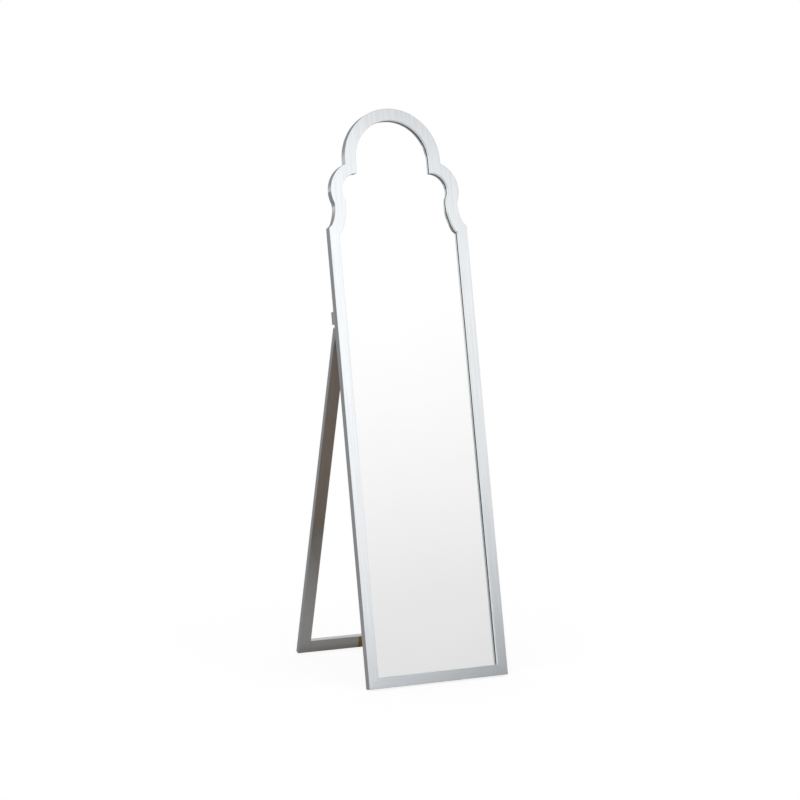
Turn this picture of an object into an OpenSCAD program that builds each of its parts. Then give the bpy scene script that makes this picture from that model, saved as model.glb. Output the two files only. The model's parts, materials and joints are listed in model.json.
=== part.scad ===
// Floor mirror with an arched crown, leaning on a hinged easel stand.
// Front faces -Y and +Z is up. The origin is on the floor, at the centre of the footprint.

/* [Frame] */
// Width of the frame
frame_w = 424; // [412:2:436]
// Height of the frame, measured along its face
frame_h = 1604; // [1500:4:1700]
// Thickness of the frame's boards
frame_t = 24; // [22:0.5:30]
// Width of a stile's face
stile_w = 29; // [27:0.5:34]
// Height of the bottom rail's face
bottom_h = 30; // [28:0.5:36]
// Width of the crown's face, across its curves
crown_w = 33.5; // [31:0.5:36]
// Thickness of the lip in front of the glass
lip_t = 9.5; // [8:0.5:11]
// Width of the rebate that holds the glass
rebate_w = 9; // [7:0.5:10]

/* [Crown] */
// Radius of the arch
arch_r = 147; // [143:1:150]
// Radius of a lobe
lobe_r = 82.5; // [81:0.5:86]
// How far a lobe's centre lies below the arch's centre
lobe_drop = 86; // [80:1:92]
// How far a lobe's centre lies inside the frame's side
lobe_in = 97.5; // [95:0.5:99]
// Radius of a cove
cove_r = 113; // [111:1:117]
// How far a cove's centre lies outside the frame's side
cove_out = 90; // [88:1:92]
// How far a cove's centre lies below a lobe's centre
cove_drop = 42; // [39:1:45]
// How far a shoulder lies below a cove's centre
shoulder_drop = 61; // [58:1:64]
// Width of the straight kick between a cove and its shoulder
kick_w = 10.6; // [8:0.2:13]
// How far the joint with the stiles lies below the shoulders
joint_drop = 34; // [30:1:50]

/* [Glass and back] */
// Thickness of the mirror glass
glass_t = 4; // [3:0.5:5]
// Thickness of the backing board
board_t = 6; // [4:0.5:6]
// Gap round the glass and the backing board
glass_gap = 1; // [0.5:0.1:2]
// Width of a retaining clip
clip_w = 12; // [10:1:16]
// Thickness of a retaining clip
clip_t = 1; // [0.8:0.1:1.2]
// Length of a clip's foot on the frame
clip_foot = 11; // [10:0.5:14]
// Length of a clip's tail on the board
clip_tail = 9; // [7:0.5:12]

/* [Stand] */
// Angle at which the mirror leans back
lean = 12; // [9:0.5:15]
// Angle between the mirror and the open stand
opening = 28; // [24:0.5:32]
// Height of the hinge rail's lower edge, along the frame
rail_z = 1003; // [900:1:1060]
// Height of the hinge rail
rail_h = 35; // [30:1:45]
// Thickness of the hinge rail
rail_t = 15.5; // [15.5:0.5:18]
// Width of a leg
leg_w = 37; // [32:1:45]
// Thickness of the stand's boards
stand_t = 15; // [14:0.5:15]
// Height of the stand's top rail and cross bar
bar_h = 37; // [34:1:45]
// How far the stand's sides lie inside the frame's sides
stand_in = 3; // [0:0.5:10]

/* [Hinges] */
// Distance of a hinge's middle from the leg beside it
hinge_in = 52; // [48:1:80]
// Length of a hinge
hinge_len = 40; // [36:1:50]
// Depth of a hinge leaf
leaf_d = 13; // [12:0.5:13.5]
// Thickness of a hinge leaf
leaf_t = 1.5; // [1.2:0.1:1.6]
// Radius of a hinge barrel
barrel_r = 2.5; // [2.5:0.1:3]
// Radius of a hinge pin
pin_r = 1.2; // [1:0.1:1.5]

/* [Stay] */
// Angle left between the mirror and the folded stand
fold_left = 1.5; // [1.4:0.1:3]
// Distance of the stay's rivets from the wood
stay_off = 8; // [7.5:0.5:9]
// Height of the stay's rivet on the frame
stay_z = 10.5; // [10:0.5:12]
// Height of the stay's stud above the cross bar
stud_up = 8; // [7:0.5:12]
// Width of the stay's arm
arm_w = 11; // [10:0.5:12]
// Thickness of the stay's arm
arm_t = 2; // [1.5:0.1:2.5]
// Radius of the rivet and the stud
rivet_r = 2; // [1.5:0.1:2.2]
// Height of a rivet's head
rivet_head_h = 1.2; // [0.8:0.1:1.5]
// Thickness of the brackets
plate_t = 1.5; // [1.2:0.1:2]
// Width of the frame's bracket
frame_plate_w = 33; // [30:1:40]
// Height of the frame's bracket
frame_plate_h = 17; // [14:0.5:18]
// Distance of the frame bracket's screws from the stay
frame_plate_screw = 11; // [10:0.5:12]
// How far the stand's bracket reaches to the left of the stay
stand_plate_w = 18; // [16:1:24]
// Height of the stand's bracket
stand_plate_h = 34; // [30:1:34]
// Distance between the stand bracket's screws
stand_plate_pitch = 18.4; // [16:0.2:22]

/* [Screws and dowels] */
// Radius of a dowel
dowel_r = 3; // [2.5:0.5:3.5]
// Length of a dowel
dowel_l = 40; // [30:2:50]
// Length of a dowel across a mitre
mitre_dowel_l = 26; // [20:1:26]
// Radius of the hinge rail's screws
rail_screw_r = 2; // [1.5:0.1:2.5]
// Length of the hinge rail's screws
rail_screw_l = 35; // [30:1:36]
// Radius of the small screws
screw_r = 1.4; // [1.2:0.1:1.5]
// Length of the small screws
screw_l = 14; // [10:1:14]

/* [Hidden] */
$fn = 64;

// Clearances
run_gap = 0.05;     // round a pin or rivet that turns
slip_gap = 0.05;    // round a screw or dowel in its hole
hook_gap = 0.08;    // round the stud in the stay's hook
side_gap = 0.3;     // between flat or round faces that move past each other
end_gap = 1;        // past the end of a screw or dowel
cut = 1;            // how far a cutter runs past the face it opens

// Paint, wood and metal, as they look
silver_paint = [0.86, 0.88, 0.9];
pale_wood = [0.8, 0.66, 0.46];
board_brown = [0.42, 0.33, 0.25];
brass = [0.76, 0.58, 0.28];
steel = [0.62, 0.63, 0.65];

// Places on the crown
half_w = frame_w / 2;
arch_z = frame_h - arch_r;
lobe_z = arch_z - lobe_drop;
lobe_x = half_w - lobe_in;
cove_z = lobe_z - cove_drop;
cove_x = half_w + cove_out;
waist_z = (lobe_z + cove_z) / 2;
shoulder_z = cove_z - shoulder_drop;
joint_z = shoulder_z - joint_drop;

// Layers from the front to the back
board_y = lip_t + glass_t;
board_back = board_y + board_t;
solid_w = stile_w - rebate_w;

// The hinge's axis, and the stand hanging from it. The stand is drawn in a frame of its
// own, with its origin on the axis, as it would lie flat against the back.
barrel_off = barrel_r + side_gap;
pivot_y = frame_t + rail_t + barrel_off;
pivot_z = rail_z - barrel_off;
splay = opening - lean;
rest_up = frame_t * sin(lean);
pivot_up = pivot_z * cos(lean) - pivot_y * sin(lean) + rest_up;
stand_back = -barrel_off;
stand_front = stand_back - stand_t;
stand_top = -barrel_off;
stand_foot = -(pivot_up + stand_front * sin(splay)) / cos(splay);
leg_x = half_w - stand_in;
hinge_x = leg_x - leg_w - hinge_in;
depth = pivot_y * cos(lean) + pivot_z * sin(lean) + stand_back * cos(splay) - stand_foot * sin(splay);

// The stay as [back, up]: its rivet on the frame, its stud on the stand, and the stud of
// the open stand as the frame sees it
stay_rivet_at = [frame_t + stay_off, stay_z];
stay_stud_at = [stand_front - stay_off, stand_foot + bar_h + stud_up];
stud_from_axis = [
    stay_stud_at.x * cos(opening) - stay_stud_at.y * sin(opening),
    stay_stud_at.x * sin(opening) + stay_stud_at.y * cos(opening)
];
stay_line = [pivot_y, pivot_z] + stud_from_axis - stay_rivet_at;
stay_reach = norm(stay_line);
stay_angle = atan2(stay_line.y, stay_line.x);

// Folding swings the stay's arm up until it lies along the back. The hook's slot runs the
// way the stud then leaves the arm: the stud's own path, less that of the arm's end.
arm_per_stand = (90 - stay_angle) / (opening - fold_left);
stud_path = [stud_from_axis.y, -stud_from_axis.x];
arm_path = arm_per_stand * [-stay_line.y, stay_line.x];
slot_path = stud_path - arm_path;
slot_turn = atan2(slot_path.y, slot_path.x) - stay_angle;

// Planes of the stay, measured sideways from the middle
lug_near = arm_t / 2 + side_gap;
lug_far = lug_near + plate_t;

// Heads of the screws and rivets: their radius as a multiple of the shank's, their heights,
// and how deep a cross recess goes into them
head_ratio = 2;
rivet_head_ratio = 1.7;
screw_head_h = 1.2;
clip_head_h = 1.6;
rail_head_h = 2.4;
recess_share = 0.6;

// Two screws or dowels in one joint, as shares of the width that they divide
pair_shares = [0.28, 0.72];

// Stands the mirror in its leaning place, from a frame with its front face on y = 0 and
// its lower edge on z = 0
module leaned() {
    translate([0, -depth / 2, rest_up])
        rotate([-lean, 0, 0])
            children();
}

// Opens the stand from the hinge's axis
module stood() {
    leaned()
        translate([0, pivot_y, pivot_z])
            rotate([opening, 0, 0])
                children();
}

// A board cut to a 2D outline of width and height, from y0 backwards
module board(y0, t) {
    translate([0, y0 + t, 0])
        rotate([90, 0, 0])
            linear_extrude(t)
                children();
}

// Draws something on both sides of the middle
module both_sides() {
    children();
    mirror([1, 0, 0])
        children();
}

// Where a cove ends and the straight kick to its shoulder begins
kick_start = [half_w - kick_w, cove_z - sqrt(pow(cove_r, 2) - pow(kick_w + cove_out, 2))];
kick_angle = atan2(kick_start.y - shoulder_z, kick_w);

// The hollow of a cove, above its kick, with both drawn in by a band
module cove_cutter(band) {
    reach = cove_r + band;
    difference() {
        translate([cove_x, cove_z])
            circle(r = reach);
        translate(kick_start)
            rotate(-kick_angle)
                translate([-reach, -band - reach])
                    square([2 * reach, reach]);
    }
}

// The mirror's outline, drawn in from the frame's edge by side, band and foot: at the
// sides, along the crown's curves and at the bottom
module outline(side, band, foot) {
    half = half_w - side;
    difference() {
        translate([-half, foot])
            square([2 * half, waist_z - foot]);
        both_sides()
            cove_cutter(band);
    }
    both_sides()
        translate([lobe_x, lobe_z])
            circle(r = lobe_r - band);
    translate([-arch_r + band, cove_z])
        square([2 * (arch_r - band), arch_z - cove_z]);
    translate([0, arch_z])
        circle(r = arch_r - band);
}

module opening_outline() {
    outline(stile_w, crown_w, bottom_h);
}

// The rebate's outline, drawn in by a gap for what lies in it
module rebate_outline(gap = 0) {
    outline(stile_w - rebate_w + gap, crown_w - rebate_w + gap, bottom_h - rebate_w + gap);
}

module rebate() {
    board(lip_t, frame_t - lip_t + cut)
        rebate_outline();
}

// Cross recess in the top of a screw's head
module cross_recess(r, h) {
    arm = 1.3 * r;
    slot = 0.35 * r;
    for (turn = [0, 90])
        rotate([0, 0, turn])
            translate([-arm / 2, -slot / 2, -h])
                cube([arm, slot, h + cut]);
}

// Shank and point of a screw that enters along -z
module shank(r, l) {
    point = 2 * r;
    tip_r = 0.2 * r;
    translate([0, 0, point - l])
        cylinder(r = r, h = l - point);
    translate([0, 0, -l])
        cylinder(r1 = tip_r, r2 = r, h = point);
}

// Screw with a flat head, flush with z = 0
module flat_screw(r, l, head_h) {
    difference() {
        union() {
            shank(r, l);
            translate([0, 0, -head_h])
                cylinder(r1 = r, r2 = head_ratio * r, h = head_h);
        }
        cross_recess(r, recess_share * head_h);
    }
}

// Hole for a flat-headed screw
module flat_screw_hole(r, l, head_h) {
    translate([0, 0, -l - end_gap])
        cylinder(r = r + slip_gap, h = l + end_gap + cut);
    translate([0, 0, -head_h - slip_gap])
        cylinder(r1 = r + slip_gap, r2 = head_ratio * r + 2 * slip_gap, h = head_h + 2 * slip_gap);
}

// Domed head that stands on z = 0
module dome(r, h) {
    ball_r = (pow(r, 2) + pow(h, 2)) / (2 * h);
    intersection() {
        cylinder(r = r, h = h);
        translate([0, 0, h - ball_r])
            sphere(r = ball_r);
    }
}

// Screw with a round head that stands on z = 0
module round_screw(r, l, head_h) {
    difference() {
        union() {
            shank(r, l);
            dome(head_ratio * r, head_h);
        }
        translate([0, 0, head_h])
            cross_recess(r, recess_share * head_h);
    }
}

// Straight pilot hole
module pilot_hole(r, l) {
    translate([0, 0, -l - end_gap])
        cylinder(r = r + slip_gap, h = l + end_gap + cut);
}

// Dowel with eased ends, centred on the origin along z
module dowel(l) {
    ease = dowel_r / 4;
    translate([0, 0, -l / 2 + ease])
        cylinder(r = dowel_r, h = l - 2 * ease);
    for (end = [0, 1])
        mirror([0, 0, end])
            translate([0, 0, l / 2 - ease])
                cylinder(r1 = dowel_r, r2 = dowel_r - ease, h = ease);
}

module dowel_hole(l) {
    translate([0, 0, -l / 2 - end_gap])
        cylinder(r = dowel_r + slip_gap, h = l + 2 * end_gap);
}

// Direction of a dowel that crosses the right mitre squarely
mitre_turn = atan2(bottom_h, stile_w);

module at_mitres() {
    both_sides()
        translate([half_w - stile_w / 2, (lip_t + frame_t) / 2, bottom_h / 2])
            rotate([0, mitre_turn, 0])
                children();
}

// Two places at each joint of the crown, one behind the other
module at_crown_joints() {
    both_sides()
        for (share = pair_shares)
            translate([half_w - solid_w / 2, share * frame_t, joint_z])
                children();
}

// Heights of the clips on a stile: some below the hinge rail and one above it
clips_below = 3;
clip_heights = [
    for (i = [0.5:clips_below]) i * rail_z / clips_below,
    (rail_z + rail_h + joint_z) / 2
];

// Retaining clips: [x, z, turn], each turned from pointing down to where its tail points
clip_x = half_w - solid_w;
clip_arch_r = arch_r - crown_w + rebate_w;
arch_clip_turn = 50;
clip_places = [
    for (z = clip_heights) for (side = [-1, 1]) [side * clip_x, z, side * 90],
    for (side = [-1, 1]) [side * half_w / 2, bottom_h - rebate_w, 180],
    for (turn = arch_clip_turn * [-1, 0, 1])
        [clip_arch_r * sin(turn), arch_z + clip_arch_r * cos(turn), turn]
];

// Puts its children at each clip, where z = 0 is the rebate's wall and -z points inwards
module at_clips() {
    for (place = clip_places)
        translate([place[0], 0, place[1]])
            rotate([0, place[2], 0])
                children();
}

module at_clip_screws() {
    at_clips()
        translate([0, frame_t, clip_foot / 2])
            rotate([-90, 0, 0])
                children();
}

// Two screws at each end of the hinge rail
module at_rail_screws() {
    both_sides()
        for (share = pair_shares)
            translate([half_w - solid_w / 2, frame_t + rail_t, rail_z + share * rail_h])
                rotate([-90, 0, 0])
                    children();
}

// Two screws in the frame's bracket, one on each side of the stay
module at_frame_bracket_screws() {
    both_sides()
        translate([frame_plate_screw, frame_t + plate_t, stay_z])
            rotate([-90, 0, 0])
                children();
}

// Two screws in the stand's bracket, one above the other
module at_stand_bracket_screws() {
    for (way = [-1, 1])
        translate([
            -stand_plate_w / 2,
            stand_front - plate_t,
            stand_foot + bar_h / 2 + way * stand_plate_pitch / 2
        ])
            rotate([90, 0, 0])
                children();
}

// Three screws in a hinge leaf, in a frame with its origin on the hinge's axis and its
// leaf above it
leaf_screw_y = -barrel_off - 0.55 * leaf_d;
leaf_screw_pitch = 0.34 * hinge_len;
module at_leaf_screws() {
    for (step = [-1, 0, 1])
        translate([step * leaf_screw_pitch, leaf_screw_y, barrel_off - leaf_t])
            rotate([180, 0, 0])
                children();
}

module at_hinges() {
    both_sides()
        translate([hinge_x, 0, 0])
            children();
}

// The hinge's axis on the leaning mirror
module at_pivot() {
    translate([0, pivot_y, pivot_z])
        children();
}

// Right stile, with a mitred foot
module stile_board() {
    difference() {
        board(0, frame_t)
            polygon([
                [half_w, 0],
                [half_w, joint_z],
                [half_w - stile_w, joint_z],
                [half_w - stile_w, bottom_h]
            ]);
        rebate();
        at_mitres()
            dowel_hole(mitre_dowel_l);
        at_crown_joints()
            dowel_hole(dowel_l);
        at_clip_screws()
            pilot_hole(screw_r, screw_l);
        at_rail_screws()
            pilot_hole(rail_screw_r, rail_screw_l);
    }
}

module right_stile() {
    color(silver_paint)
        leaned()
            stile_board();
}

module left_stile() {
    color(silver_paint)
        leaned()
            mirror([1, 0, 0])
                stile_board();
}

// Bottom rail between the mitres
module bottom_rail() {
    color(silver_paint)
        leaned()
            difference() {
                board(0, frame_t)
                    polygon([
                        [-half_w, 0],
                        [half_w, 0],
                        [half_w - stile_w, bottom_h],
                        [stile_w - half_w, bottom_h]
                    ]);
                rebate();
                at_mitres()
                    dowel_hole(mitre_dowel_l);
                at_clip_screws()
                    pilot_hole(screw_r, screw_l);
                at_frame_bracket_screws()
                    flat_screw_hole(screw_r, screw_l, screw_head_h);
            }
}

// Crown cut from one board: arch, lobes, coves and shoulders
module crown() {
    color(silver_paint)
        leaned()
            difference() {
                board(0, frame_t)
                    difference() {
                        outline(0, 0, joint_z);
                        opening_outline();
                    }
                rebate();
                at_crown_joints()
                    dowel_hole(dowel_l);
                at_clip_screws()
                    pilot_hole(screw_r, screw_l);
            }
}

module corner_dowels() {
    color(pale_wood)
        leaned()
            at_mitres()
                dowel(mitre_dowel_l);
}

module crown_dowels() {
    color(pale_wood)
        leaned()
            at_crown_joints()
                dowel(dowel_l);
}

// Silvered glass, cut to the rebate and lying against the lip
module mirror_glass() {
    color([0.9, 0.95, 0.96])
        leaned()
            board(lip_t, glass_t)
                rebate_outline(glass_gap);
}

module backing_board() {
    color(board_brown)
        leaned()
            board(board_y, board_t)
                rebate_outline(glass_gap);
}

// Cranked clips: a foot screwed to the frame and a tail pressing on the board
module retaining_clips() {
    bend = glass_gap;
    color(steel)
        leaned()
            difference() {
                at_clips()
                    translate([-clip_w / 2, 0, 0])
                        rotate([90, 0, 90])
                            linear_extrude(clip_w)
                                polygon([
                                    [frame_t, clip_foot],
                                    [frame_t + clip_t, clip_foot],
                                    [frame_t + clip_t, -bend - clip_t],
                                    [board_back + clip_t, -bend - clip_t],
                                    [board_back + clip_t, -bend - clip_tail],
                                    [board_back, -bend - clip_tail],
                                    [board_back, -bend],
                                    [frame_t, -bend]
                                ]);
                at_clip_screws()
                    pilot_hole(screw_r, screw_l);
                at_clip_screws()
                    cylinder(r = screw_r + slip_gap, h = clip_t + cut);
            }
}

module clip_screws() {
    color(steel)
        leaned()
            at_clip_screws()
                translate([0, 0, clip_t])
                    round_screw(screw_r, screw_l, clip_head_h);
}

// Batten across the back that carries the hinges
module hinge_rail() {
    color(silver_paint)
        leaned()
            difference() {
                translate([-half_w, frame_t, rail_z])
                    cube([frame_w, rail_t, rail_h]);
                at_rail_screws()
                    flat_screw_hole(rail_screw_r, rail_screw_l, rail_head_h);
                at_pivot()
                    at_hinges()
                        at_leaf_screws()
                            flat_screw_hole(screw_r, screw_l, screw_head_h);
            }
}

module hinge_rail_screws() {
    color(steel)
        leaned()
            at_rail_screws()
                flat_screw(rail_screw_r, rail_screw_l, rail_head_h);
}

// Ends of a hinge's knuckles along the axis
knuckle_l = hinge_len / 3;
outer_knuckle = [knuckle_l / 2 + side_gap / 2, hinge_len / 2];

// Half of a hinge above its axis: a leaf, and the knuckles at its ends or in its middle
module hinge_half(ends) {
    inner = knuckle_l / 2 + (ends ? side_gap / 2 : -side_gap / 2);
    difference() {
        union() {
            translate([-hinge_len / 2, -barrel_off - leaf_d, barrel_off - leaf_t])
                cube([hinge_len, barrel_off + leaf_d, leaf_t]);
            rotate([0, 90, 0])
                cylinder(r = barrel_r, h = hinge_len, center = true);
        }
        if (ends)
            knuckle_room(-inner, inner);
        else
            both_sides()
                knuckle_room(inner, hinge_len / 2 + cut);
        rotate([0, 90, 0])
            cylinder(r = pin_r + run_gap, h = hinge_len + 2 * cut, center = true);
        at_leaf_screws()
            flat_screw_hole(screw_r, screw_l, screw_head_h);
    }
}

// Space for the other half's knuckle between two places along the axis
module knuckle_room(from, to) {
    translate([from, -barrel_off, -barrel_off])
        cube([to - from, 2 * barrel_off, 2 * barrel_off]);
}

module hinge_fixed(side) {
    color(brass)
        leaned()
            at_pivot()
                translate([side * hinge_x, 0, 0])
                    hinge_half(true);
}

module hinge_moving(side) {
    color(brass)
        stood()
            translate([side * hinge_x, 0, 0])
                mirror([0, 0, 1])
                    hinge_half(false);
}

module hinge_pin(side) {
    color(brass)
        leaned()
            at_pivot()
                translate([side * hinge_x, 0, 0])
                    rotate([0, 90, 0])
                        cylinder(r = pin_r, h = hinge_len, center = true);
}

// Screws of the fixed leaves, driven up into the hinge rail
module hinge_rail_side_screws() {
    color(brass)
        leaned()
            at_pivot()
                at_hinges()
                    at_leaf_screws()
                        flat_screw(screw_r, screw_l, screw_head_h);
}

// Screws of the moving leaves, driven down into the stand
module hinge_stand_screws() {
    color(brass)
        stood()
            mirror([0, 0, 1])
                at_hinges()
                    at_leaf_screws()
                        flat_screw(screw_r, screw_l, screw_head_h);
}

// Two dowels in each end of the stand's top rail and cross bar
module at_stand_joints() {
    both_sides()
        for (middle = [stand_top - bar_h / 2, stand_foot + bar_h / 2])
            for (way = [-1, 1])
                translate([leg_x - leg_w, stand_front + stand_t / 2, middle + way * bar_h / 4])
                    rotate([0, 90, 0])
                        children();
}

module leg_board() {
    difference() {
        translate([leg_x - leg_w, stand_front, stand_foot])
            cube([leg_w, stand_t, stand_top - stand_foot]);
        at_stand_joints()
            dowel_hole(dowel_l);
    }
}

module leg_right() {
    color(silver_paint)
        stood()
            leg_board();
}

module leg_left() {
    color(silver_paint)
        stood()
            mirror([1, 0, 0])
                leg_board();
}

// A rail between the legs, from a height upwards
module between_legs(low) {
    span = 2 * (leg_x - leg_w);
    difference() {
        translate([-span / 2, stand_front, low])
            cube([span, stand_t, bar_h]);
        at_stand_joints()
            dowel_hole(dowel_l);
    }
}

module stand_top_rail() {
    color(silver_paint)
        stood()
            difference() {
                between_legs(stand_top - bar_h);
                mirror([0, 0, 1])
                    at_hinges()
                        at_leaf_screws()
                            flat_screw_hole(screw_r, screw_l, screw_head_h);
            }
}

module cross_bar() {
    color(silver_paint)
        stood()
            difference() {
                between_legs(stand_foot);
                at_stand_bracket_screws()
                    flat_screw_hole(screw_r, screw_l, screw_head_h);
            }
}

module stand_dowels() {
    color(pale_wood)
        stood()
            at_stand_joints()
                dowel(dowel_l);
}

// Disc, shank or bore that runs sideways, from x0 to x1
module sideways(x0, x1, r) {
    translate([x0, 0, 0])
        rotate([0, 90, 0])
            cylinder(r = r, h = x1 - x0);
}

// Domed head, standing to the right of x0
module rivet_head(x0) {
    translate([x0, 0, 0])
        rotate([0, 90, 0])
            dome(rivet_head_ratio * rivet_r, rivet_head_h);
}

// Rivet through a lug on the left and past the arm in the middle
module lug_rivet() {
    sideways(-lug_far, lug_near, rivet_r);
    rivet_head(lug_near);
    mirror([1, 0, 0])
        rivet_head(lug_far);
}

// The stay's rivet on the frame
module at_stay_rivet() {
    leaned()
        translate([0, stay_rivet_at.x, stay_rivet_at.y])
            children();
}

// The stay's stud on the stand
module at_stay_stud() {
    stood()
        translate([0, stay_stud_at.x, stay_stud_at.y])
            children();
}

// Plate across the bottom rail, with a lug in its middle for the stay's rivet
module stay_bracket_frame() {
    color(brass)
        difference() {
            at_stay_rivet()
                difference() {
                    union() {
                        translate([-frame_plate_w / 2, -stay_off, -frame_plate_h / 2])
                            cube([frame_plate_w, plate_t, frame_plate_h]);
                        translate([-lug_far, -stay_off, -arm_w / 2])
                            cube([plate_t, stay_off, arm_w]);
                        sideways(-lug_far, -lug_near, arm_w / 2);
                    }
                    sideways(-lug_far - cut, -lug_near + cut, rivet_r + slip_gap);
                }
            leaned()
                at_frame_bracket_screws()
                    flat_screw_hole(screw_r, screw_l, screw_head_h);
        }
}

module stay_bracket_frame_screws() {
    color(brass)
        leaned()
            at_frame_bracket_screws()
                flat_screw(screw_r, screw_l, screw_head_h);
}

module stay_rivet() {
    color(brass)
        at_stay_rivet()
            lug_rivet();
}

// Plate on the cross bar, with an ear that stands up beside the stay and holds its stud
module stay_bracket_stand() {
    plate_mid = stand_foot + bar_h / 2 - stay_stud_at.y;
    color(brass)
        difference() {
            at_stay_stud()
                difference() {
                    union() {
                        translate([-stand_plate_w, stay_off - plate_t, plate_mid - stand_plate_h / 2])
                            cube([stand_plate_w + lug_far, plate_t, stand_plate_h]);
                        translate([lug_near, -arm_w / 2, plate_mid])
                            cube([plate_t, arm_w / 2 + stay_off, -plate_mid]);
                        sideways(lug_near, lug_far, arm_w / 2);
                    }
                    sideways(lug_near - cut, lug_far + cut, rivet_r + slip_gap);
                }
            stood()
                at_stand_bracket_screws()
                    flat_screw_hole(screw_r, screw_l, screw_head_h);
        }
}

module stay_bracket_stand_screws() {
    color(brass)
        stood()
            at_stand_bracket_screws()
                flat_screw(screw_r, screw_l, screw_head_h);
}

module stay_stud() {
    color(brass)
        at_stay_stud()
            mirror([1, 0, 0])
                lug_rivet();
}

// Flat arm on the frame's rivet, with a hook that drops over the stand's stud
module stay_arm() {
    side = arm_t / 2;
    seat_r = rivet_r + hook_gap;
    color(brass)
        at_stay_rivet()
            rotate([stay_angle, 0, 0])
                difference() {
                    union() {
                        for (y = [0, stay_reach])
                            translate([0, y, 0])
                                sideways(-side, side, arm_w / 2);
                        translate([-side, 0, -arm_w / 2])
                            cube([arm_t, stay_reach, arm_w]);
                    }
                    sideways(-side - cut, side + cut, rivet_r + run_gap);
                    translate([0, stay_reach, 0]) {
                        sideways(-side - cut, side + cut, seat_r);
                        rotate([slot_turn, 0, 0])
                            translate([-side - cut, 0, -seat_r])
                                cube([arm_t + 2 * cut, arm_w, 2 * seat_r]);
                    }
                }
}

left_stile();
right_stile();
bottom_rail();
crown();
corner_dowels();
crown_dowels();
mirror_glass();
backing_board();
retaining_clips();
clip_screws();
hinge_rail();
hinge_rail_screws();
hinge_fixed(-1);  // hinge_fixed_left
hinge_fixed(1);  // hinge_fixed_right
hinge_pin(-1);  // hinge_pin_left
hinge_pin(1);  // hinge_pin_right
hinge_rail_side_screws();
stay_bracket_frame();
stay_bracket_frame_screws();
stay_rivet();
leg_left();
leg_right();
stand_top_rail();
cross_bar();
stand_dowels();
hinge_moving(-1);  // hinge_moving_left
hinge_moving(1);  // hinge_moving_right
hinge_stand_screws();
stay_bracket_stand();
stay_bracket_stand_screws();
stay_stud();
stay_arm();
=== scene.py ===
import json
import math

import bmesh
import bpy
from mathutils import Matrix, Vector


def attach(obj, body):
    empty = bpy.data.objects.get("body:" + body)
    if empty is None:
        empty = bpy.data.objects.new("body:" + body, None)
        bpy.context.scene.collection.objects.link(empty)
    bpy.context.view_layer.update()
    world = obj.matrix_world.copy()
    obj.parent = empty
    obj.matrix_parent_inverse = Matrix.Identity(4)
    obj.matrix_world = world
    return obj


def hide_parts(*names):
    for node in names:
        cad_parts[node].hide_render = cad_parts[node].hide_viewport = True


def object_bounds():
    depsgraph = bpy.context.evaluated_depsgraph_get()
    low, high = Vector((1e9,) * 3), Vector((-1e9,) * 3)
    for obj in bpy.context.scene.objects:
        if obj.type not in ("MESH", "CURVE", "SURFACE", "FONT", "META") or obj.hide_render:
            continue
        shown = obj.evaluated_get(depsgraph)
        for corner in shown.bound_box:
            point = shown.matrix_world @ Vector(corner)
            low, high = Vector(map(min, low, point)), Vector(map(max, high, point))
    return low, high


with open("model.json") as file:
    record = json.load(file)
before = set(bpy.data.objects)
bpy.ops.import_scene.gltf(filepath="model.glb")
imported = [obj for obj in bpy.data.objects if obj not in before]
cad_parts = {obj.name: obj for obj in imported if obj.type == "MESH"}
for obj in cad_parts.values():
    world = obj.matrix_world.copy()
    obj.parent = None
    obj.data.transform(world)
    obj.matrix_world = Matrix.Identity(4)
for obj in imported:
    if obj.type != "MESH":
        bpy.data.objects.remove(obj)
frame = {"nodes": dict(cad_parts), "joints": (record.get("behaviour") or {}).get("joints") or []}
cad_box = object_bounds()

# The painted frame
# Two stiles, a bottom rail and a sawn crown of solid wood, doweled and glued into one flat
# frame. It is filled, sprayed silver, drawn over with a dry brush and eased with fine paper.

MM = 0.001
HALF_W = 212 * MM
STILE_W = 29 * MM
CROWN_W = 33.5 * MM
BOTTOM_H = 30 * MM
FRAME_T = 24 * MM
LIP_T = 9.5 * MM
REBATE_W = 9 * MM
SHOULDER_Z = 1268 * MM
KICK_W = 10.6 * MM

# The circles of the crown's right half: x, z and radius
ARCH = (0, 1457 * MM, 147 * MM)
LOBE = (114.5 * MM, 1371 * MM, 82.5 * MM)
COVE = (302 * MM, 1329 * MM, 113 * MM)
ARCH_STEPS = 48
LOBE_STEPS = 48
COVE_STEPS = 24


def arc(circle, start, end, steps):
    """Points about a circle's centre from one point to another, the shorter way round."""
    cx, cz, _ = circle
    a = math.atan2(start[1] - cz, start[0] - cx)
    turn = math.atan2(end[1] - cz, end[0] - cx) - a
    turn = (turn + math.pi) % (2 * math.pi) - math.pi
    r = math.hypot(start[0] - cx, start[1] - cz)
    angles = [a + turn * i / steps for i in range(steps + 1)]
    return [(cx + r * math.cos(angle), cz + r * math.sin(angle)) for angle in angles]


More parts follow.
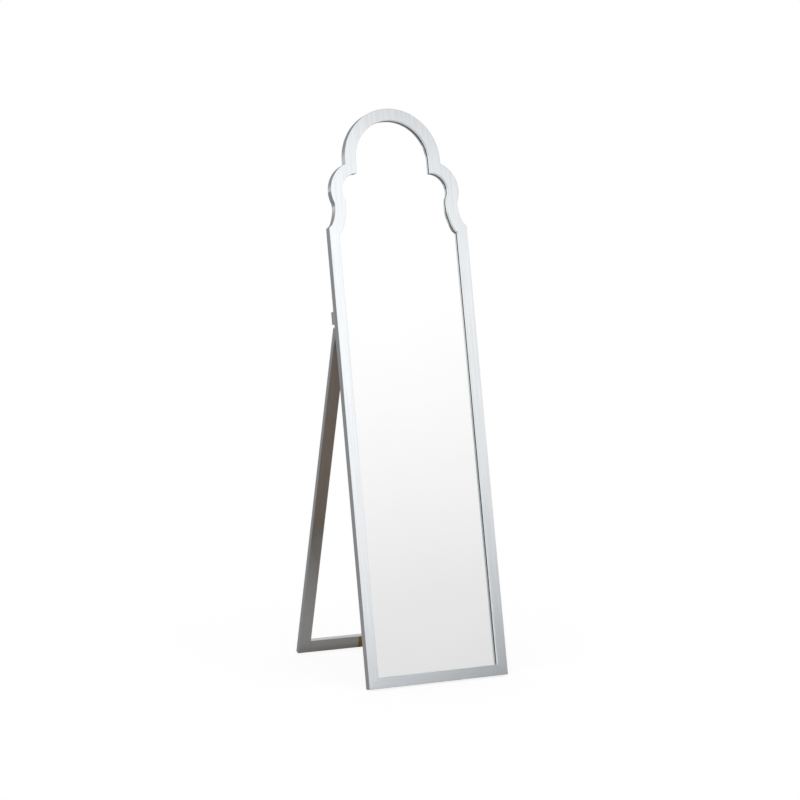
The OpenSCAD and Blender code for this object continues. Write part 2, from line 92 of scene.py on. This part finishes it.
def half_outline(side, band, foot):
    """The right half of the mirror's outline, from the middle of the foot to the top.

    It is drawn in by side at the stile, by band along the crown and by foot below.
    """
    lobe_r = LOBE[2] - band
    cove_r = COVE[2] + band
    arch_x = ARCH[2] - band

    # The straight kick between the cove and the shoulder
    kick_x = HALF_W - KICK_W
    kick_z = COVE[1] - math.sqrt(COVE[2] ** 2 - (COVE[0] - kick_x) ** 2)
    drop = math.atan2(kick_z - SHOULDER_Z, KICK_W)
    along = Vector((math.cos(drop), -math.sin(drop)))
    inward = Vector((-math.sin(drop), -math.cos(drop)))
    on_kick = Vector((kick_x, kick_z)) + band * inward
    shoulder = on_kick + along * ((HALF_W - side - on_kick.x) / along.x)

    # The kick's line runs back to where it meets the cove's circle
    off = on_kick - Vector(COVE[:2])
    ahead = off.dot(along)
    cove_end = on_kick - along * (ahead + math.sqrt(ahead ** 2 - off.length_squared + cove_r ** 2))

    # The cusp where the cove meets the lobe
    gap = Vector(COVE[:2]) - Vector(LOBE[:2])
    reach = (gap.length_squared + lobe_r ** 2 - cove_r ** 2) / (2 * gap.length)
    rise = math.sqrt(lobe_r ** 2 - reach ** 2)
    way = gap.normalized()
    cusp = Vector(LOBE[:2]) + way * reach + Vector((way.y, -way.x)) * rise

    # The notch where the lobe meets the arch's straight side
    notch = (arch_x, LOBE[1] + math.sqrt(lobe_r ** 2 - (arch_x - LOBE[0]) ** 2))
    return [
        (0, foot),
        (HALF_W - side, foot),
        tuple(shoulder),
        *arc(COVE, cove_end, cusp, COVE_STEPS),
        *arc(LOBE, cusp, notch, LOBE_STEPS)[1:],
        *arc(ARCH, (arch_x, ARCH[1]), (0, ARCH[1] + arch_x), ARCH_STEPS),
    ]


def outline(side, band, foot):
    """The whole outline, once round from the middle of the foot."""
    right = half_outline(side, band, foot)
    return right + [(-x, z) for x, z in right[-2:0:-1]]


def ring_wall(bm, low, high, material=0):
    """Faces between two loops of as many points, closed round."""
    for i in range(len(low)):
        j = (i + 1) % len(low)
        bm.faces.new((low[i], low[j], high[j], high[i])).material_index = material


def finished(bm, name):
    """Closes the work on a mesh."""
    mesh = bpy.data.meshes.new(name)
    bm.to_mesh(mesh)
    bm.free()
    return mesh


# The third finish is painted shade, on the lip's back and the rebate, along the mirror's edge
UPRIGHT, LEVEL, PAINTED_SHADE = range(3)

# Round the frame's section: each edge, its depth, and the finish of the wall after it
outer = outline(0, 0, 0)
inner = outline(STILE_W, CROWN_W, BOTTOM_H)
rebate = outline(STILE_W - REBATE_W, CROWN_W - REBATE_W, BOTTOM_H - REBATE_W)
section = (
    (outer, 0, UPRIGHT),
    (inner, 0, UPRIGHT),
    (inner, LIP_T, PAINTED_SHADE),
    (rebate, LIP_T, PAINTED_SHADE),
    (rebate, FRAME_T, UPRIGHT),
    (outer, FRAME_T, UPRIGHT),
)
bm = bmesh.new()
loops = [[bm.verts.new((x, y, z)) for x, z in points] for points, y, _ in section]
for i, (_, _, finish) in enumerate(section):
    ring_wall(bm, loops[i], loops[(i + 1) % len(loops)], finish)
for face in bm.faces:
    in_bottom_rail = all(v.co.z < BOTTOM_H + MM for v in face.verts)
    if in_bottom_rail and face.material_index == UPRIGHT:
        face.material_index = LEVEL
bmesh.ops.recalc_face_normals(bm, faces=bm.faces)
frame_mesh = finished(bm, "painted_frame")


def feed(tree, socket, value):
    """Gives a socket its value: another node's output, a number or a colour."""
    if isinstance(value, bpy.types.NodeSocket):
        tree.links.new(value, socket)
    elif socket.type == "RGBA":
        socket.default_value = (*value, 1)
    else:
        socket.default_value = value


def ranged(tree, value, start, end, low=0, high=1, interpolation="LINEAR"):
    """Maps a value that runs from start to end on to a range from low to high."""
    node = tree.nodes.new("ShaderNodeMapRange")
    node.interpolation_type = interpolation
    feed(tree, node.inputs["Value"], value)
    feed(tree, node.inputs["From Min"], start)
    feed(tree, node.inputs["From Max"], end)
    feed(tree, node.inputs["To Min"], low)
    feed(tree, node.inputs["To Max"], high)
    return node.outputs["Result"]


def blended(tree, mask, first, second):
    """Mixes two colours by a mask."""
    node = tree.nodes.new("ShaderNodeMix")
    node.data_type = "RGBA"
    feed(tree, node.inputs["Factor"], mask)
    feed(tree, node.inputs["A"], first)
    feed(tree, node.inputs["B"], second)
    return node.outputs["Result"]


def bumped(tree, height, distance, strength):
    """Turns a height mask into a normal."""
    node = tree.nodes.new("ShaderNodeBump")
    feed(tree, node.inputs["Height"], height)
    feed(tree, node.inputs["Distance"], distance)
    feed(tree, node.inputs["Strength"], strength)
    return node.outputs["Normal"]


def noise(tree, vector, scale, detail, coarseness=0.5):
    """A cloudy noise, whose scale is its number of patches to a unit of the vector."""
    node = tree.nodes.new("ShaderNodeTexNoise")
    feed(tree, node.inputs["Vector"], vector)
    feed(tree, node.inputs["Scale"], scale)
    feed(tree, node.inputs["Detail"], detail)
    feed(tree, node.inputs["Roughness"], coarseness)
    return node.outputs["Fac"]


def shader_group(name, inputs, outputs):
    """Starts a shader group: its inputs with their usual values, and its outputs."""
    group = bpy.data.node_groups.new(name, "ShaderNodeTree")
    new_socket = group.interface.new_socket
    new_socket("Vector", in_out="INPUT", socket_type="NodeSocketVector")
    for title, usual in inputs.items():
        kind = "NodeSocketVector" if isinstance(usual, tuple) else "NodeSocketFloat"
        new_socket(title, in_out="INPUT", socket_type=kind).default_value = usual
    for title in outputs:
        new_socket(title, in_out="OUTPUT", socket_type="NodeSocketFloat")
    given = group.nodes.new("NodeGroupInput").outputs
    result = group.nodes.new("NodeGroupOutput").inputs
    return group, given, result


NOISE_LOW, NOISE_HIGH = 0.3, 0.7  # nearly all of a noise's values lie between these
CLOUDS_PER_METRE = 9


def brush_marks():
    """Shader group: the faint, long streaks that a dry brush leaves along a board."""
    group, given, result = shader_group(
        "brush marks", {"Marks per metre": (160, 160, 4)}, ("Streaks", "Mottle", "Height")
    )
    stretched = group.nodes.new("ShaderNodeVectorMath")
    stretched.operation = "MULTIPLY"
    feed(group, stretched.inputs[0], given["Vector"])
    feed(group, stretched.inputs[1], given["Marks per metre"])
    streaks = noise(group, stretched.outputs["Vector"], scale=1, detail=2)
    mottle = noise(group, given["Vector"], CLOUDS_PER_METRE, detail=2)
    feed(group, result["Streaks"], ranged(group, streaks, NOISE_LOW, NOISE_HIGH))
    feed(group, result["Mottle"], ranged(group, mottle, NOISE_LOW, NOISE_HIGH))
    feed(group, result["Height"], streaks)
    return group


def uneven_grain():
    """Shader group: the uneven grain of bare wood, board, metal and glass."""
    group, given, result = shader_group(
        "uneven grain",
        {"Specks per metre": 300, "Detail": 2, "Coarseness": 0.5},
        ("Mask", "Height"),
    )
    specks = noise(
        group, given["Vector"], given["Specks per metre"], given["Detail"], given["Coarseness"]
    )
    feed(group, result["Mask"], ranged(group, specks, NOISE_LOW, NOISE_HIGH))
    feed(group, result["Height"], specks)
    return group


BRUSH_MARKS = brush_marks()
UNEVEN_GRAIN = uneven_grain()


def new_finish(name, effect, settings):
    """Starts a material and lays one effect over it, in the piece's own coordinates."""
    material = bpy.data.materials.new(name)
    material.use_nodes = True
    tree = material.node_tree
    where = tree.nodes.new("ShaderNodeTexCoord")
    laid = tree.nodes.new("ShaderNodeGroup")
    laid.node_tree = effect
    feed(tree, laid.inputs["Vector"], where.outputs["Object"])
    for title, value in settings.items():
        feed(tree, laid.inputs[title], value)
    return material, tree, tree.nodes["Principled BSDF"].inputs, laid.outputs


PAINT_IN_MARKS = (0.87, 0.905, 0.94)
PAINT_BETWEEN_MARKS = (0.96, 0.975, 0.985)
PAINT_ROUGHNESS = (0.145, 0.17)
MARK_DEPTH = 0.1 * MM
MARK_STRENGTH = 0.2


def silver_paint(name, marks_per_metre, across):
    """Silver paint, brushed out so that its sheen spreads across the marks."""
    settings = {"Marks per metre": marks_per_metre}
    material, tree, shader, marks = new_finish(name, BRUSH_MARKS, settings)
    colour = blended(tree, marks["Streaks"], PAINT_IN_MARKS, PAINT_BETWEEN_MARKS)
    feed(tree, shader["Base Color"], colour)
    feed(tree, shader["Roughness"], ranged(tree, marks["Mottle"], 0, 1, *PAINT_ROUGHNESS))
    feed(tree, shader["Normal"], bumped(tree, marks["Height"], MARK_DEPTH, MARK_STRENGTH))
    sheen = tree.nodes.new("ShaderNodeVectorTransform")
    sheen.vector_type = "VECTOR"
    sheen.convert_from = "OBJECT"
    sheen.convert_to = "WORLD"
    feed(tree, sheen.inputs["Vector"], across)
    feed(tree, shader["Tangent"], sheen.outputs["Vector"])
    shader["Anisotropic"].default_value = 0.6
    shader["Metallic"].default_value = 0.9
    return material


def grained(name, grain_settings, colours, roughness, relief=None, metallic=0):
    """A finish whose colour and sheen follow an uneven grain.

    The grain's relief, if it has one, is its depth and its strength.
    """
    material, tree, shader, grain = new_finish(name, UNEVEN_GRAIN, grain_settings)
    feed(tree, shader["Base Color"], blended(tree, grain["Mask"], *colours))
    feed(tree, shader["Roughness"], ranged(tree, grain["Mask"], 0, 1, *roughness))
    if relief:
        feed(tree, shader["Normal"], bumped(tree, grain["Height"], *relief))
    shader["Metallic"].default_value = metallic
    return material


upright_paint = silver_paint(
    "silver paint, brushed upright", marks_per_metre=(160, 160, 4), across=(1, 0.2, 0)
)
level_paint = silver_paint(
    "silver paint, brushed level", marks_per_metre=(4, 160, 160), across=(0, 0.2, 1)
)

# The rebate and lip's back are dark teal: painted shade for the dark line along the mirror's edge
rebate_painted_shade = grained(
    "rebate in painted shade",
    {"Specks per metre": 120, "Detail": 3},
    colours=((0.012, 0.024, 0.03), (0.03, 0.05, 0.06)),
    roughness=(0.55, 0.75),
)

LEAN = math.radians(12)
FRAME_ARRIS = 0.8 * MM


def place(name, mesh, matrix, body, materials, smooth=True):
    """Hangs a finished mesh in its place, on its body."""
    piece = bpy.data.objects.new(name, mesh)
    bpy.context.scene.collection.objects.link(piece)
    piece.matrix_world = matrix
    for material in materials:
        mesh.materials.append(material)
    for face in mesh.polygons:
        face.use_smooth = smooth
    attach(piece, body)
    return piece


def ease(piece, width):
    """Takes the sharp arrises off a piece, as sandpaper does."""
    bevel = piece.modifiers.new("eased arrises", "BEVEL")
    bevel.width = width
    bevel.segments = 2
    bevel.limit_method = "ANGLE"
    bevel.angle_limit = math.radians(15)
    bevel.harden_normals = True


# The frame stands on its back lower edge, so its front one is a little off the floor
front_edge = (0, cad_box[0][1], FRAME_T * math.sin(LEAN))
leaned = Matrix.Translation(front_edge) @ Matrix.Rotation(-LEAN, 4, "X")
# The third finish is the painted shade of the rebate and the lip's back
finishes = [upright_paint, level_paint, rebate_painted_shade]  # as UPRIGHT, LEVEL and PAINTED_SHADE
painted_frame = place("painted_frame", frame_mesh, leaned, "mirror", finishes)
ease(painted_frame, FRAME_ARRIS)
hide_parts("left_stile", "right_stile", "bottom_rail", "crown")

# The dowels
# Fluted beech pins across the mitres, between the stiles and the crown, and in the corners
# of the stand. They are glued in and lie wholly inside the wood.


def finish_nodes(material, *names):
    """Puts a finish on pieces that keep the shape they were loaded with."""
    for name in names:
        slots = frame["nodes"][name].data.materials
        for i in range(len(slots)):
            slots[i] = material


beech = grained(
    "bare beech",
    {"Specks per metre": 300, "Detail": 4},
    colours=((0.55, 0.36, 0.2), (0.72, 0.52, 0.33)),
    roughness=(0.6, 0.75),
)
finish_nodes(beech, "corner_dowels", "crown_dowels", "stand_dowels")

# The mirror glass
# One pane of 4 mm float glass, cut to the rebate with a millimetre to spare and laid
# against the back of the lip. Its edges are ground, and its back is silvered and painted.

GLASS_T = 4 * MM
GLASS_GAP = 1 * MM
SLACK = 0.05 * MM  # keeps the pane's faces off the lip and the board
SILVERED = 1  # the second of the pane's two finishes


def polished(name, grain_settings, colours, shader_settings):
    """A mirror-smooth finish with a hardly visible cloudiness."""
    material, tree, shader, clouds = new_finish(name, UNEVEN_GRAIN, grain_settings)
    feed(tree, shader["Base Color"], blended(tree, clouds["Mask"], *colours))
    shader["Roughness"].default_value = 0
    for title, value in shader_settings.items():
        shader[title].default_value = value
    return material


clear_glass = polished(
    "float glass",
    {"Specks per metre": 6},
    colours=((0.978, 0.984, 0.98), (0.986, 0.99, 0.987)),
    shader_settings={"IOR": 1.52, "Transmission Weight": 1},
)
silvering = polished(
    "silvering",
    {"Specks per metre": 4},
    colours=((0.95, 0.955, 0.95), (0.96, 0.96, 0.955)),
    shader_settings={"Metallic": 1},
)

bm = bmesh.new()
edge = outline(*(w - REBATE_W + GLASS_GAP for w in (STILE_W, CROWN_W, BOTTOM_H)))
front = [bm.verts.new((x, LIP_T + SLACK, z)) for x, z in edge]
back = [bm.verts.new((x, LIP_T + GLASS_T - SLACK, z)) for x, z in edge]
ring_wall(bm, front, back)
bm.faces.new(front)
bm.faces.new(reversed(back)).material_index = SILVERED
bmesh.ops.recalc_face_normals(bm, faces=bm.faces)
glass_pane = place(
    "glass_pane",
    finished(bm, "glass_pane"),
    leaned,
    "mirror",
    [clear_glass, silvering],
    smooth=False,
)
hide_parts("mirror_glass")

# The backing board
# A sheet of brown hardboard that covers the pane's painted back and lies in the same
# rebate. Its smooth side is outwards.

hardboard = grained(
    "brown hardboard",
    {"Specks per metre": 450, "Detail": 5, "Coarseness": 0.7},
    colours=((0.33, 0.25, 0.185), (0.5, 0.39, 0.3)),
    roughness=(0.45, 0.6),
    relief=(0.2 * MM, 0.3),
)
finish_nodes(hardboard, "backing_board")

# The retaining clips
# Cranked strips of zinc-plated steel. Each is held on the frame's back by one small screw
# and presses the backing board home with its tail.


def metal(name, specks_per_metre, colours, roughness):
    """Metal with small specks of tarnish, which are dull and a little rougher."""
    grain_settings = {"Specks per metre": specks_per_metre, "Detail": 5}
    relief = (0.1 * MM, 0.2)
    return grained(name, grain_settings, colours, roughness, relief, metallic=1)


zinc = metal(
    "zinc plate",
    specks_per_metre=260,
    colours=((0.42, 0.43, 0.45), (0.62, 0.63, 0.65)),
    roughness=(0.45, 0.25),
)
finish_nodes(zinc, "retaining_clips", "clip_screws")

# The hinge rail
# A batten across the back of both stiles, painted with the frame and screwed on from
# behind, two screws at each end. The stand hangs from its lower edge.


def eased_board(name, matrix, body, paint, arris):
    """A board as large as its node, made in its own upright frame, with eased arrises."""
    inverse = matrix.inverted()
    corners = [inverse @ v.co for v in frame["nodes"][name].data.vertices]
    low = Vector([min(c[i] for c in corners) for i in range(3)])
    high = Vector([max(c[i] for c in corners) for i in range(3)])
    bm = bmesh.new()
    bmesh.ops.create_cube(bm, size=1)
    bmesh.ops.scale(bm, vec=high - low, verts=bm.verts)
    bmesh.ops.translate(bm, vec=(low + high) / 2, verts=bm.verts)
    mesh = finished(bm, name + "_board")
    board = place(name + "_board", mesh, matrix, body, [paint])
    ease(board, arris)
    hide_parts(name)


eased_board("hinge_rail", leaned, "mirror", level_paint, FRAME_ARRIS)
finish_nodes(zinc, "hinge_rail_screws")

# The hinges
# Two brass butt hinges with three knuckles. One leaf is screwed under the hinge rail and
# the other on top of the stand, with three countersunk screws each.

brass = metal(
    "satin brass",
    specks_per_metre=180,
    colours=((0.42, 0.29, 0.12), (0.72, 0.53, 0.25)),
    roughness=(0.42, 0.25),
)
bright_brass = metal(
    "bright brass",
    specks_per_metre=120,
    colours=((0.75, 0.55, 0.22), (0.95, 0.75, 0.36)),
    roughness=(0.25, 0.15),
)
for side in ("left", "right"):
    finish_nodes(brass, "hinge_fixed_" + side, "hinge_moving_" + side, "hinge_pin_" + side)
finish_nodes(bright_brass, "hinge_rail_side_screws", "hinge_stand_screws")

# The stand
# A flat frame of planed 37 x 15 mm boards, painted like the mirror's frame: two legs, a top
# rail and a cross bar, doweled at the corners. It hangs open behind the mirror.

OPENING = math.radians(28)
STAND_ARRIS = 1.2 * MM
axis = next(joint["pos_m"] for joint in frame["joints"] if joint["name"] == "stand_hinge")
stood = Matrix.Translation(axis) @ Matrix.Rotation(OPENING - LEAN, 4, "X")
for name in ("leg_left", "leg_right"):
    eased_board(name, stood, "stand", upright_paint, STAND_ARRIS)
for name in ("stand_top_rail", "cross_bar"):
    eased_board(name, stood, "stand", level_paint, STAND_ARRIS)

# The stay
# A flat brass arm on a rivet behind the bottom rail. Its hook drops over a stud on the
# cross bar and keeps the stand from sliding open. The brackets are bent from sheet brass.

finish_nodes(brass, "stay_bracket_frame", "stay_bracket_stand", "stay_arm")
finish_nodes(bright_brass, "stay_bracket_frame_screws", "stay_bracket_stand_screws")
finish_nodes(bright_brass, "stay_rivet", "stay_stud")

# The floor
# A plain white studio floor. The camera sees it white, with the mirror's soft shadow, and
# the glass shows it a little greyer. To all else it is a dull grey that gives little light.

FLOOR_HALF_W = 60
NEAR = 0.5
FAR = 1.4
# Near the mirror the grey is lighter and warmer: painted light on the floor
PAINTED_LIGHT_NEAR = (0.49, 0.47, 0.45)
GREY_FAR = (0.42, 0.42, 0.425)
PALE_GREY = (0.3, 0.3, 0.3)
GLOW_IN_MIRROR = 0.56
GLOW_IN_CAMERA = 0.84


def reckoned(tree, operation, *values):
    """The result of one sum with nodes' outputs and plain numbers."""
    node = tree.nodes.new("ShaderNodeMath")
    node.operation = operation
    for socket, value in zip(node.inputs, values):
        feed(tree, socket, value)
    return node.outputs["Value"]


bm = bmesh.new()
bmesh.ops.create_grid(bm, x_segments=1, y_segments=1, size=FLOOR_HALF_W)
mesh = finished(bm, "studio_floor")
floor = bpy.data.objects.new("studio_floor", mesh)
bpy.context.scene.collection.objects.link(floor)
material = bpy.data.materials.new("studio floor")
material.use_nodes = True
mesh.materials.append(material)
tree = material.node_tree
tree.nodes.clear()

where = tree.nodes.new("ShaderNodeTexCoord")
distance = tree.nodes.new("ShaderNodeVectorMath")
distance.operation = "LENGTH"
feed(tree, distance.inputs[0], where.outputs["Object"])
# Near the mirror the floor's grey is lighter and warmer: painted light, which the paint and metal
# reflect
outwards = ranged(tree, distance.outputs["Value"], NEAR, FAR)
dull = tree.nodes.new("ShaderNodeBsdfDiffuse")
feed(tree, dull.inputs["Color"], blended(tree, outwards, PAINTED_LIGHT_NEAR, GREY_FAR))

seen = tree.nodes.new("ShaderNodeLightPath").outputs
pale = tree.nodes.new("ShaderNodeBsdfDiffuse")
feed(tree, pale.inputs["Color"], PALE_GREY)
glow = tree.nodes.new("ShaderNodeEmission")
strength = ranged(tree, seen["Is Camera Ray"], 0, 1, GLOW_IN_MIRROR, GLOW_IN_CAMERA)
feed(tree, glow.inputs["Strength"], strength)
white = tree.nodes.new("ShaderNodeAddShader")
feed(tree, white.inputs[0], pale.outputs["BSDF"])
feed(tree, white.inputs[1], glow.outputs["Emission"])

shown_white = reckoned(tree, "MAXIMUM", seen["Is Camera Ray"], seen["Is Transmission Ray"])
choice = tree.nodes.new("ShaderNodeMixShader")
feed(tree, choice.inputs["Fac"], shown_white)
feed(tree, choice.inputs[1], dull.outputs["BSDF"])
feed(tree, choice.inputs[2], white.outputs["Shader"])
output = tree.nodes.new("ShaderNodeOutputMaterial")
feed(tree, output.inputs["Surface"], choice.outputs["Shader"])

# The light
# A room lit from in front and above and dim behind the mirror, which the paint and the
# metal reflect. The camera sees it plain white, and the glass shows a pale backdrop.

world = bpy.data.worlds.new("studio")
bpy.context.scene.world = world
world.use_nodes = True
room = world.node_tree
where = room.nodes.new("ShaderNodeTexCoord")
way = room.nodes.new("ShaderNodeSeparateXYZ")
feed(room, way.inputs["Vector"], where.outputs["Generated"])
to_right, to_back, upwards = way.outputs


def levels(value, *stops):
    """A smooth run of levels against a value, through stops of (value, level)."""
    node = room.nodes.new("ShaderNodeFloatCurve")
    curve = node.mapping.curves[0]
    node.mapping.clip_min_x = -1
    node.mapping.clip_max_x = 1.5
    node.mapping.clip_max_y = 2
    curve.points[0].location = stops[0]
    curve.points[1].location = stops[-1]
    for stop in stops[1:-1]:
        curve.points.new(*stop)
    for point in curve.points:
        point.handle_type = "AUTO_CLAMPED"
    node.mapping.update()
    feed(room, node.inputs["Value"], value)
    return node.outputs["Value"]


# In front the light grows upwards from a lower edge, which has a hill at the right
light_edge = levels(
    to_right,
    (-1, 0), (0.27, 0), (0.34, 0.13), (0.37, 0.137), (0.42, 0.158),
    (0.46, 0.1765), (0.52, 0.24), (0.57, 0.2), (0.65, 0), (1.5, 0),
)
above_edge = reckoned(room, "SUBTRACT", upwards, light_edge)
by_height = levels(
    above_edge,
    (-1, 0.07), (-0.045, 0.07), (-0.03, 0.25), (-0.013, 0.79),
    (0.06, 0.93), (0.13, 1.03), (0.2, 1.08), (1.5, 1.08),
)
across = levels(
    to_right,
    (-1, 0.6), (-0.5, 0.75), (-0.2, 0.8), (0.2, 0.85), (0.3, 1.25),
    (0.37, 1.13), (0.47, 0.97), (0.53, 0.7), (0.65, 0.5), (1.5, 0.5),
)

# It ends in an upper edge that slopes down to the right, and the ceiling there is dimmer
RIGHTWARD_SLOPE = 0.5
ceiling = levels(
    reckoned(room, "MULTIPLY_ADD", to_right, RIGHTWARD_SLOPE, upwards),
    (-1, 1), (0.57, 1), (0.598, 0.9), (0.62, 0.35), (1, 0.55), (1.5, 0.55),
)
below_ceiling = reckoned(room, "MULTIPLY", by_height, across)
in_front = reckoned(room, "MULTIPLY", below_ceiling, ceiling)

# The little light that is left below the lower edge is bluish
BLUISH = (0.45, 0.8, 1.1)
WHITE = (1, 1, 1)
BLUISH_TO, WHITE_FROM = -0.05, -0.028
lit = ranged(room, above_edge, BLUISH_TO, WHITE_FROM)
tinted = room.nodes.new("ShaderNodeVectorMath")
tinted.operation = "MULTIPLY"
feed(room, tinted.inputs[0], blended(room, lit, BLUISH, WHITE))
feed(room, tinted.inputs[1], in_front)

# At the left stands a dark post, which the frame's right inner edge reflects
POST_COLOUR = (0.045, 0.095, 0.11)
post = reckoned(
    room,
    "MULTIPLY",
    levels(to_right, (-1, 0), (-0.49, 0), (-0.475, 1), (-0.42, 1), (-0.37, 0), (1.5, 0)),
    levels(upwards, (-1, 0), (0.09, 0), (0.11, 1), (0.24, 1), (0.28, 0), (1.5, 0)),
)
front_half = blended(room, post, tinted.outputs["Vector"], POST_COLOUR)

# Behind the mirror the room is dim
back_half = levels(
    upwards,
    (-1, 0.55), (0, 0.58), (0.15, 0.3), (0.4, 0.26), (0.55, 0.42), (0.7, 0.6), (1.5, 0.8),
)
TURN_FROM, TURN_TO = -0.35, 0.35
turned = ranged(room, to_back, TURN_FROM, TURN_TO, interpolation="SMOOTHSTEP")
all_round = blended(room, turned, front_half, back_half)

# The glass shows a plain backdrop that greys towards the floor
backdrop = levels(
    upwards,
    (-1, 0.7), (0, 0.72), (0.1, 0.77), (0.174, 0.84), (0.21, 0.915),
    (0.251, 0.995), (0.292, 1.05), (0.34, 1.09), (1.5, 1.09),
)
seen = room.nodes.new("ShaderNodeLightPath").outputs
in_glass = blended(room, seen["Is Transmission Ray"], all_round, backdrop)
shown = blended(room, seen["Is Camera Ray"], in_glass, WHITE)
feed(room, room.nodes["Background"].inputs["Color"], shown)

# The camera
# It stands about six metres off, to the left, at chest height, and looks slightly down
# through a long lens.

CAMERA_AT = (-2.6277, -5.5544, 1.4309)
LOOKS_DOWN = math.radians(6.247)
LOOKS_RIGHT = math.radians(25.34)
SENSOR_W_MM = 36
LENS_MM = 98.73
FURTHEST_SEEN = 200

camera = bpy.data.objects.new("camera", bpy.data.cameras.new("camera"))
bpy.context.scene.collection.objects.link(camera)
camera.location = CAMERA_AT
camera.rotation_euler = (math.pi / 2 - LOOKS_DOWN, 0, -LOOKS_RIGHT)
camera.data.sensor_width = SENSOR_W_MM
camera.data.lens = LENS_MM
camera.data.clip_end = FURTHEST_SEEN
bpy.context.scene.camera = camera
bpy.context.scene.view_settings.view_transform = "Standard"
